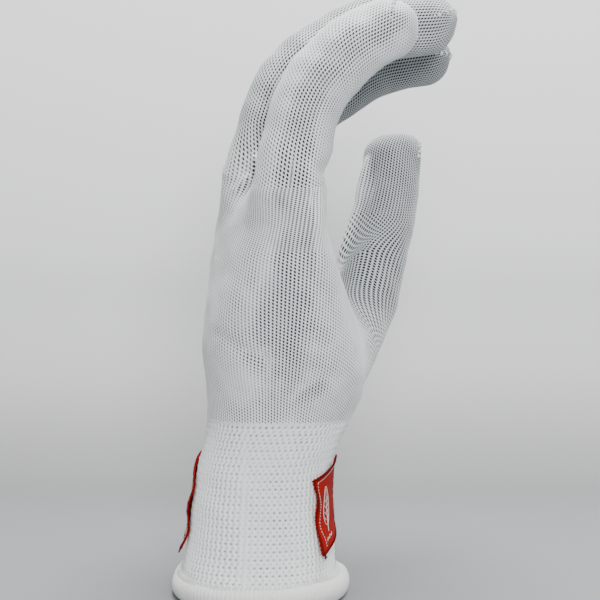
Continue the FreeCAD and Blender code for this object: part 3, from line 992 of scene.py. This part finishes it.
def lined_share(tube, s, cut):
    """The share of a tip's rows, from the row where it is cut off, that its inner face has."""
    return 1 - UNLINED_TIP * tube.tip_radius / (s[-1] - s[cut])


def plain_piece(name, skin, replaced, first=0, last=None, lined=None):
    piece = piece_of_skin(name, skin, first, last, lined)
    return finish_piece(piece, plain_knit, [replaced])


def add_finger(name):
    """One surface for the whole finger, and the rows where its three pieces meet."""
    tube = finger_tube(name)
    knuckle, middle, end = tube.marks[1:4]
    s, v = course_rows(tube.length, COURSE, ROWS_PER_COURSE)
    add_skin(f"{name}_finger", tube.rows(s), v, first=1)
    cuts = [0, row_at(s, (knuckle + middle) / 2), row_at(s, (middle + end) / 2), len(s) - 1]
    return tube, s, cuts


def make_finger(name, tube, s, cuts):
    for i, part in enumerate(PHALANXES):
        lined = lined_share(tube, s, cuts[2]) if part == "tip" else None
        piece = plain_piece(f"{name}_{part}_knit", f"{name}_finger", f"{name}_{part}",
                            cuts[i], cuts[i + 1], lined)
        at = tube.marks[i + 1]
        if i == 0:
            axis = tube.direction(0.0)
            start = tube.point(0.0)
            start = start + axis * ((tube.root[:, 2].max() - start[2]) / axis[2] + 0.4)
            stop = start + axis * (2 * ZONE - 2)
        else:
            start = tube.point(max(s[cuts[i]], at - ZONE))
            axis = tube.direction(at)
            stop = start + axis * ((tube.point(min(s[cuts[i + 1]], at + ZONE)) - start) @ axis)
        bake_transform(piece)


def add_thumb():
    tube = thumb_tube()
    columns = len(tube.angles)
    s, v = course_rows(tube.length, COURSE, ROWS_PER_COURSE)
    # The columns start on the seam's end, a quarter turn from the front, on an even wale.
    quarter = int(round((-math.pi / 2 - tube.angles[0]) % (2 * math.pi) / (2 * math.pi) * columns))
    quarter = int(round(quarter / (2 * COLUMNS_PER_WALE))) * 2 * COLUMNS_PER_WALE
    grid = np.roll(tube.rows(s), -quarter, axis=1)
    eased = EASED_COURSES * ROWS_PER_COURSE
    grid[:eased] = relaxed(grid[:eased])
    add_skin("thumb", grid, v)
    return tube, s, row_at(s, tube.marks[1] - ZONE)


def make_thumb(tube, s, cut):
    base = plain_piece("thumb_base_knit", "thumb", "thumb_base", 0, cut)
    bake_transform(base)
    tip = plain_piece("thumb_tip_knit", "thumb", "thumb_tip", cut, None, lined_share(tube, s, cut))
    axis = tube.direction(tube.marks[1])
    start = tube.point(s[cut])
    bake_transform(tip)


def add_upper_hand():
    """The four-finger part, from the ring at the thumb's crotch to the roots of the fingers."""
    ring = np.concatenate([palm_ring[:-1], web[:-1]])
    tops = {n: root_ring(n) for n in FINGERS}
    # The parts of the root rings it meets: the finger, and the first twelfth and the count of
    # twelfths of its ring, whose column 0 is at -90 degrees.
    twelfth = FINGER_COLUMNS // 12
    parts = [(n, 7, 4) for n in reversed(FINGERS)] + [("pinky", -1, 2)]
    parts += [(n, 1, 4) for n in FINGERS] + [("index", 5, 2)]
    top = np.concatenate([tops[n][(start * twelfth + np.arange(count * twelfth)) % FINGER_COLUMNS]
                          for n, start, count in parts])
    length = np.linalg.norm(top - ring, axis=1).mean()
    s, v = course_rows(length, COURSE, ROWS_PER_COURSE)
    t = (s / length)[:, None, None]
    grid = settled(ring[None] * (1 - t) + top[None] * t)
    grid[0] = ring
    grid = relaxed(grid)
    grid = grid + smooth(0.35, 1.0, t) * (top - grid[-1])[None]
    add_skin("upper_hand", grid, v)


def wrist_ring():
    """The ring at the top of the cuff."""
    total = PALM_ARC_COLUMNS + THUMB_ARC_COLUMNS
    palm_share = PALM_ARC_COLUMNS / total
    line = level_ring(WRIST_Z)
    middle = (0.5 * palm_share, share_at(line, MIDDLE_WALE_X[0]))
    return spread(line, total, [middle, (palm_share, WRIST_THUMB_SHARE)])[:-1]


def add_lower_hand():
    """The five-finger part. Gives the row where its two pieces meet."""
    bottom, ring = wrist_ring(), np.concatenate([palm_ring[:-1], thumb_ring[:-1]])
    _, v = course_rows(LOWER_HAND_LENGTH, COURSE, ROWS_PER_COURSE)
    t = (v / v[-1])[:, None, None]
    grid = settled(bottom[None] * (1 - t) + ring[None] * t, 14)
    grid[0], grid[-1] = bottom, ring
    add_skin("lower_hand", relaxed(grid), v, fade=(0.6, 0.0))
    return int(round(HAND_SPLIT * v[-1])) * ROWS_PER_COURSE


def make_lower_hand(split):
    """Two pieces: one at the wrist and one with the thumb."""
    lower = plain_piece("lower_hand_knit", "lower_hand", "lower_hand", 0, split)
    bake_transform(lower)
    upper = plain_piece("thumb_side_hand_knit", "lower_hand", "lower_hand", split)
    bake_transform(upper)


def add_cuff():
    heights, v = course_rows(WRIST_Z - CUFF_BOTTOM, CUFF_COURSE, CUFF_STEPS)
    columns = CUFF_CELLS * CUFF_STEPS
    grid = np.array([evenly(level_ring(z), columns)[:-1] for z in heights + CUFF_BOTTOM])
    add_skin("cuff", grid, v, RIBBED, CUFF_STEPS, fade=(0.0, 0.35))


fingers = {name: add_finger(name) for name in FINGERS}
thumb = add_thumb()
add_upper_hand()
hand_split = add_lower_hand()
add_cuff()
knit_skins()

for name, parts in fingers.items():
    make_finger(name, *parts)
make_thumb(*thumb)
palm_piece = plain_piece("upper_hand_knit", "upper_hand", "upper_hand")
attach(palm_piece, "hand")
make_lower_hand(hand_split)
cuff_piece = piece_of_skin("cuff_knit", "cuff")
finish_piece(cuff_piece, rib_knit, ["cuff_rib"])
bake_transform(cuff_piece)


# ---------------------------------------------------------------- threads
def tube_along(builder, line, radius, sides=6):
    """A thin closed yarn along a line."""
    along = unit(np.gradient(line, axis=0))
    side = np.cross(along[0], (0.31, 0.17, 0.93))
    sides_of = []
    for t in along:
        side = unit(side - t * (side @ t))
        sides_of.append(side)
    sides_of = np.array(sides_of)
    other = np.cross(along, sides_of)
    turn = 2 * np.pi * np.arange(sides) / sides
    size = np.full(len(line), radius)
    size[[0, -1]] = 0.35 * radius
    ring = (line[:, None] + size[:, None, None] *
            (np.cos(turn)[:, None] * sides_of[:, None] + np.sin(turn)[:, None] * other[:, None]))
    index = builder.points(ring)
    tube_faces(builder, index, np.arange(sides + 1) / sides, np.arange(len(line), dtype=float))
    builder.faces([index[0][::-1]], 0.0)
    builder.faces([index[-1]], 0.0)


def curved(points, step):
    """A smooth line through some points."""
    points = np.array(points, float)
    run = run_of(points)
    count = max(4, int(run[-1] / step) + 1)
    return placed(np.linspace(0, run[-1], count), run, points, cubic)


def threads(name, lines, radius, mat, replaced, step, body):
    builder = Builder()
    for line in lines:
        tube_along(builder, curved(line, step), radius)
    piece = finish_piece(builder.make(name), mat, replaced)
    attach(piece, body)
    return piece


# ---------------------------------------------------------------- rolled hem
def hem_wave(turn):
    """How much higher the roll is than its mean, by the direction round it."""
    return 0.30 * np.sin(2 * turn + 2.6) + 0.16 * np.sin(5 * turn + 0.4)


def make_hem():
    turn = 2 * np.pi * np.arange(HEM_COLUMNS) / HEM_COLUMNS
    c, n = np.cos(turn), np.sin(turn)
    r = 1 / reach_of(c, n, *HEM_RING)
    ring = np.stack([r * c + HEM_X, r * n], axis=-1)
    ahead = unit(np.roll(ring, -1, axis=0) - np.roll(ring, 1, axis=0))
    out = np.stack([ahead[:, 1], -ahead[:, 0]], axis=-1)
    wave = hem_wave(turn) + 0.08 * np.sin(11 * turn)
    section = 2 * np.pi * np.arange(HEM_ROWS) / HEM_ROWS
    rib = 1 + 0.035 * np.cos(HEM_RIBS * turn[None] + 1.2 * np.sin(section)[:, None])
    rib = rib + 0.02 * np.sin(7 * turn + 1.0)[None]
    reach = HEM_SIZE[0] * np.cos(section)[:, None] * rib
    lift = HEM_SIZE[1] * np.sin(section)[:, None] * rib
    height = HEM_SIZE[1] + 0.25 + lift + wave[None] * smooth(-0.2, 1.0, np.sin(section))[:, None]
    grid = np.concatenate([ring[None] + out[None] * reach[..., None],
                           np.maximum(height, 0.05)[..., None]], axis=-1)
    builder = Builder()
    index = builder.points(grid)
    looped = np.concatenate([index, index[:1]])
    tube_faces(builder, looped, np.arange(HEM_COLUMNS + 1) / 6.0,
               np.arange(HEM_ROWS + 1, dtype=float))
    hem = finish_piece(builder.make("rolled_hem_knit"), hem_yarn, ["rolled_hem"])
    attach(hem, "cuff")


def make_hem_seam():
    """The overlock stitches that hold the roll to the cuff."""
    line = ring_line(0.0, 0.0, 360.0, 1200)[:, :2]
    run = run_of(line)
    middle = line.mean(axis=0)
    heights, lifts = np.array((6.4, 7.35, 8.3)), np.array((0.95, 0.62, 0.05))
    stitches = []
    for i in range(HEM_RIBS):
        at = placed([run[-1] * (i + d) / HEM_RIBS for d in (0.0, 0.22, 0.45)], run, line)
        out = unit(at - middle)
        wave = hem_wave(math.atan2(at[0, 1], at[0, 0] - HEM_X))
        stitches.append(np.c_[at + out * lifts[:, None], heights + wave])
    threads("hem_seam_yarn", stitches, 0.27, white_yarn,
            ["hem_overlock_thread"], step=0.45, body="cuff")


# ---------------------------------------------------------------- labels
class CuffPatch:
    """Points on the palm side (side 1) or the back (side -1) of the cuff, by the run round it
    from its middle and the height."""

    def __init__(self, side):
        self.side = side
        middle = 0.0 if side > 0 else 180.0
        self.heights = np.linspace(5.0, 47.0, 22)
        self.runs = np.linspace(-32.0, 32.0, 129)
        rows = []
        for z in self.heights:
            line = ring_line(z, middle - 115 * side, middle + 115 * side, 600)
            run = run_of(line)
            rows.append(placed(self.runs, run - np.interp(0.0, line[:, 1], run), line))
        self.table = np.array(rows)

    def smooth_point(self, run, z):
        """The table read between its points."""
        cells = []
        for value, marks in ((z, self.heights), (run, self.runs)):
            place = (value - marks[0]) / (marks[1] - marks[0])
            cells.append(np.clip(place, 0, len(marks) - 1.001))
        i, j = cells
        t = self.table
        i0, j0 = i.astype(int), j.astype(int)
        a, b = (i - i0)[..., None], (j - j0)[..., None]
        return ((1 - a) * ((1 - b) * t[i0, j0] + b * t[i0, j0 + 1]) +
                a * ((1 - b) * t[i0 + 1, j0] + b * t[i0 + 1, j0 + 1]))

    def point(self, run, z, lift):
        run, z = np.asarray(run, float), np.asarray(z, float)
        across = self.smooth_point(run + 0.6, z) - self.smooth_point(run - 0.6, z)
        up = self.smooth_point(run, z + 0.6) - self.smooth_point(run, z - 0.6)
        out = unit(np.cross(across, up)) * self.side
        return self.smooth_point(run, z) + out * np.asarray(lift, float)[..., None]


def make_label(name, side, run_middle, motif, seed):
    """A woven label sewn to the cuff, with a serrated overlocked edge and a pale motif."""
    patch = CuffPatch(side)
    rng = np.random.default_rng(seed)
    phase = rng.uniform(0, 6, 6)

    def place(a, b, lift):
        """Points a and b away from the label's middle, curled and waved a little."""
        a, b = np.asarray(a, float), np.asarray(b, float)
        run = run_middle + a - LABEL_SHEAR * b
        z = LABEL_Z + b + LABEL_SLOPE * a
        near = smooth(5.0, 12.0, -a)
        curl = 0.55 * near * (1 + np.sin(0.45 * b + phase[0])) + 0.22 * smooth(9, 13.5, np.abs(b))
        wave = 0.16 * np.sin(0.33 * a + 0.21 * b + phase[1]) * np.sin(0.27 * b + phase[2])
        return patch.point(run, z, 0.42 + curl + wave + lift)

    a, b = np.meshgrid(*(np.linspace(-0.5, 0.5, n + 1) for n in LABEL_GRID))
    tooth_a = 0.28 * np.sin(2 * np.pi * b * 19 + 0.8 * np.sin(9 * b))
    bay = 0.55 * np.sin(5.2 * b + phase[3]) + 0.25 * np.sin(13 * b + phase[4])
    tooth_b = 0.20 * np.sin(2 * np.pi * a * 17 + 0.6 * np.sin(8 * a))
    edge, rim = smooth(0.38, 0.5, np.abs(a)), smooth(0.40, 0.5, np.abs(b))
    a = a * LABEL_SIZE[0] + edge * (tooth_a * np.sign(a) + bay * (a < 0))
    b = b * LABEL_SIZE[1] + rim * tooth_b * np.sign(b)
    builder = Builder()
    top, low = (builder.points(place(a, b, lift)[:, ::side]) for lift in (LABEL_CLOTH, 0.0))
    for face in (top, low.T):
        quads = np.stack([face[:-1, :-1], face[:-1, 1:], face[1:, 1:], face[1:, :-1]], -1)
        builder.faces(quads.reshape(-1, 4), 0.0)
    for border in (np.s_[0], np.s_[:, -1], np.s_[-1, ::-1], np.s_[::-1, 0]):
        t, w = top[border], low[border]
        builder.faces(np.stack([w[:-1], w[1:], t[1:], t[:-1]], -1), 0.0)
    label = finish_piece(builder.make(name + "_cloth"), red_cloth, [name])
    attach(label, "cuff")

    # The overlock stitches of its two sides, then of its two ends, then loose ends of yarn.
    half_a, half_b = LABEL_SIZE[0] / 2, LABEL_SIZE[1] / 2
    side_stitches, end_stitches, loose_ends = 44, 38, 9
    lines = []
    for sign in (-1, 1):
        for i in range(side_stitches):
            b0 = (i + 0.5) / side_stitches * 2 * half_b - half_b
            skew = rng.uniform(-0.25, 0.25)
            bend = 0.55 * math.sin(5.2 * b0 / LABEL_SIZE[1] + phase[3]) * (sign < 0)
            x = sign * (half_a - 0.9) + bend
            lines.append(place([x, x + sign * 0.55, x + sign * 1.05], [b0 + skew, b0, b0 - skew],
                               LABEL_CLOTH + np.array((0.10, 0.20, -0.05))))
    for sign in (-1, 1):
        for i in range(end_stitches):
            a0 = (i + 0.5) / end_stitches * 2 * half_a - half_a
            y = sign * (half_b - 0.8)
            lines.append(place([a0, a0 + rng.uniform(-0.2, 0.2), a0], [y, y + sign * 0.5, y + sign],
                               LABEL_CLOTH + np.array((0.08, 0.18, -0.05))))
    for _ in range(loose_ends):
        a0, b0 = 0.4 - half_a + rng.uniform(-0.6, 0.6), -half_b + rng.uniform(-0.4, 1.8)
        drop = np.array((0.0, 0.7, 1.3)) * rng.uniform(0.5, 1.1)
        drift = rng.uniform(-0.9, 0.9) * np.array((0.0, 0.4, 1.0))
        lines.append(place(a0 + drift, b0 - drop, np.array((0.2, 0.5, 0.7))))
    edge_piece = threads(name + "_edge_yarn", lines, 0.20, dark_red_yarn, [name],
                         step=0.3, body="cuff")

    # The stitching down its one side and along its top.
    down, along, stitch_share = 22, 19, 0.74
    seam_lift = LABEL_CLOTH + np.array((-0.05, 0.16, -0.05))
    lines = []
    for i in range(down):
        b0 = half_b - 1.5 - i * (2 * half_b - 3.0) / down
        a0 = 2.3 - half_a + 0.5 * math.sin(0.55 * b0 + phase[3])
        step = (2 * half_b - 3.0) / down * stitch_share
        lines.append(place([a0] * 3, [b0, b0 - step / 2, b0 - step], seam_lift))
    for i in range(along):
        a0 = -half_a + 2.2 + i * (2 * half_a - 4.4) / along
        step = (2 * half_a - 4.4) / along * stitch_share
        lines.append(place([a0, a0 + step / 2, a0 + step], [half_b - 1.5] * 3, seam_lift))
    seam_piece = threads(name + "_seam_yarn", lines, 0.10, motif_yarn,
                         [name + "_stitching"], step=0.3, body="cuff")

    lines = [place(*np.transpose(shape), np.full(len(shape), LABEL_CLOTH + 0.03))
             for shape in motif]
    motif_piece = threads(name + "_motif", lines, 0.13, motif_yarn, [name],
                          step=0.25, body="cuff")


def leaf_motif():
    """A leaf with its veins, over a wavy line."""
    turn = np.linspace(0, 2 * np.pi, 25)
    outline = [(MOTIF_X + 3.1 * math.sin(t) * (0.75 - 0.25 * math.cos(t)),
                1.2 + 6.0 * math.cos(t)) for t in turn]
    lines = [outline, [(MOTIF_X, 6.4), (MOTIF_X + 0.1, 1.0), (MOTIF_X, -7.0)]]
    for y in (3.4, 1.4, -0.6, -2.4):
        for way in (-1, 1):
            lines.append([(MOTIF_X, y - 1.0), (MOTIF_X + way * 0.9, y - 0.5),
                          (MOTIF_X + way * 1.7, y + 0.4)])
    steps = np.linspace(-3.0, 3.0, 13)
    lines.append([(MOTIF_X + x, -8.6 + 0.4 * math.sin(2.6 * x)) for x in steps])
    return lines


# ---------------------------------------------------------------- knots
def make_tip_knots(name, tube, skin, body, node_name):
    """Small loops and loose ends of yarn along the closed seam of a fingertip. The seam runs
    over the tip from side to side."""
    rng = np.random.default_rng(sum(map(ord, name)))
    along, centre = tube.direction(tube.body_length), tube.point(tube.body_length)
    side = tube.side_of(along)
    back = -np.cross(side, along)
    turn = math.radians(SEAM_TURN[name])
    shell = skins[skin]["outer"][-16 * ROWS_PER_COURSE:].reshape(-1, 3) - centre
    ways = unit(shell)

    def on_tip(angle, extra):
        """A point of the tip along the seam and beside it, and its direction from the centre."""
        way = (math.cos(angle) * (math.cos(turn + extra) * along + math.sin(turn + extra) * back) +
               math.sin(angle) * side)
        return centre + way * np.linalg.norm(shell[(ways @ way).argmax()]), way

    lines = []
    for angle in np.radians(np.linspace(-78, 78, 16)):
        base, way = on_tip(angle + rng.uniform(-0.03, 0.03), rng.uniform(-0.06, 0.06))
        front, _ = on_tip(angle + rng.uniform(-0.05, 0.05), -0.13)
        behind, _ = on_tip(angle + rng.uniform(-0.05, 0.05), 0.13)
        lines.append([front - way * 0.2, base + way * rng.uniform(0.35, 0.65), behind - way * 0.2])
    for _ in range(8):
        base, way = on_tip(math.radians(rng.uniform(-80, 80)), rng.uniform(-0.1, 0.1))
        curl = side * rng.uniform(-0.6, 0.6) + back * rng.uniform(-0.5, 0.5)
        length = rng.uniform(0.7, 1.3)
        lines.append([base - way * 0.2, base + way * 0.5 * length + 0.2 * curl,
                      base + way * length + curl])
    threads(f"{name}_tip_yarn", lines, 0.27, white_yarn, [node_name],
            step=0.25, body=body)


def make_crotch_yarns():
    """The few strengthening stitches between the fingers."""
    lines = []
    for low, high in zip(FINGERS, FINGERS[1:]):
        y = (finger_joints[low][0][1] + finger_joints[high][0][1]) / 2
        x = (FINGER_ROOT_X[low] + FINGER_ROOT_X[high]) / 2
        for at in 1.5 * np.arange(-3, 4):
            z = root_height(y) - ROOT_DROP * (at / CORNER) ** 2
            lines.append([(x + at, y - 0.95, z - 0.35), (x + at + 0.4, y, z + 0.30),
                          (x + at + 0.2, y + 0.95, z - 0.35)])
    threads("finger_crotch_yarn", lines, 0.22, white_yarn,
            ["finger_crotch_knots"], step=0.3, body="hand")


make_hem()
make_hem_seam()
make_label("palm_label", 1, -11.4, leaf_motif(), 4)
make_label("back_label", -1, -0.8, leaf_motif(), 11)
for name, parts in fingers.items():
    make_tip_knots(name, parts[0], f"{name}_finger", f"{name}_tip", f"{name}_tip_knots")
make_tip_knots("thumb", thumb[0], "thumb", "thumb_tip", "thumb_tip_knots")
make_crotch_yarns()
elastic = bpy.data.objects["elastic_yarns"]
elastic.data.materials.clear()
elastic.data.materials.append(rubber)


# ---------------------------------------------------------------- studio and camera
def make_studio():
    """A pale sweep of paper with painted shade, dark on the floor and low on its wall and pale
    higher up, that is clear from behind.
    """
    mat, tree, shader = material("studio_paper_painted_shade", (0.80, 0.81, 0.82), 0.95)
    shader.inputs["Specular IOR Level"].default_value = 0.05
    # Painted shade: the paper's colour goes from dark grey at the floor to pale grey high on the
    # wall.
    where = tree.nodes.new("ShaderNodeTexCoord").outputs["Object"]
    height = node(tree, "ShaderNodeSeparateXYZ", Vector=where).outputs[2]
    painted_shade_ramp = node(tree, "ShaderNodeValToRGB", Fac=mapped(tree, height, From_Max=0.26))
    stops = painted_shade_ramp.color_ramp
    stops.interpolation = "B_SPLINE"
    stops.elements[0].position, stops.elements[0].color = 0.0, (0.25, 0.262, 0.27, 1)
    stops.elements[1].position, stops.elements[1].color = 1.0, (0.90, 0.91, 0.89, 1)
    for position, grey in ((0.06, 0.185), (0.24, 0.50), (0.46, 0.78)):
        stops.elements.new(position).color = (grey, grey * 1.01, grey, 1)
    tree.links.new(painted_shade_ramp.outputs[0], shader.inputs["Base Color"])
    behind = tree.nodes.new("ShaderNodeNewGeometry").outputs["Backfacing"]
    clear = tree.nodes.new("ShaderNodeBsdfTransparent").outputs[0]
    mixed_shader(tree, behind, shader.outputs[0], clear, "Material Output")
    profile = [(-1.2, 0.0), (SWEEP_Y, 0.0)]
    profile += [(SWEEP_Y + SWEEP_RADIUS * math.sin(t), SWEEP_RADIUS * (1 - math.cos(t)))
                for t in np.radians(np.arange(5, 91, 5))]
    profile += [(SWEEP_Y + SWEEP_RADIUS, 1.8)]
    vertices = [(x, y, z) for y, z in profile for x in (-1.6, 1.6)]
    faces = [(2 * i, 2 * i + 1, 2 * i + 3, 2 * i + 2) for i in range(len(profile) - 1)]
    mesh = bpy.data.meshes.new("studio_sweep")
    mesh.from_pydata(vertices, [], faces)
    mesh.materials.append(mat)
    mesh.polygons.foreach_set("use_smooth", [True] * len(faces))
    linked(bpy.data.objects.new("studio_sweep", mesh))


def area_light(name, place, aim, size, power):
    data = bpy.data.lights.new(name, "AREA")
    data.shape = "DISK"
    data.size = size
    data.energy = power
    lamp = linked(bpy.data.objects.new(name, data))
    lamp.location = place
    lamp.rotation_euler = (Vector(aim) - Vector(place)).to_track_quat("-Z", "Y").to_euler()


def make_world():
    """Soft air light, and a paler air where the camera looks past the paper."""
    world = bpy.data.worlds.new("studio_air")
    world.use_nodes = True
    tree = world.node_tree
    air = tree.nodes["Background"]
    air.inputs["Color"].default_value = (0.93, 0.96, 1.0, 1)
    air.inputs["Strength"].default_value = 0.17
    seen = node(tree, "ShaderNodeBackground", Color=(0.93, 0.95, 0.95, 1), Strength=0.60)
    to_camera = tree.nodes.new("ShaderNodeLightPath").outputs["Is Camera Ray"]
    mixed_shader(tree, to_camera, air.outputs[0], seen.outputs[0], "World Output")
    bpy.context.scene.world = world


def make_camera():
    data = bpy.data.cameras.new("camera")
    data.lens = CAMERA_LENS
    data.sensor_width = 36.0
    camera = linked(bpy.data.objects.new("camera", data))
    camera.location = CAMERA_PLACE
    camera.rotation_euler = (math.pi / 2, 0, 0)
    bpy.context.scene.camera = camera


make_studio()
area_light("key", (0.10, -0.98, 0.34), (0, 0, 0.09), 0.36, 11.0)
area_light("wall", (0.15, -0.02, 1.05), (0.1, 0.24, 0.30), 0.7, 25.0)
make_world()
make_camera()
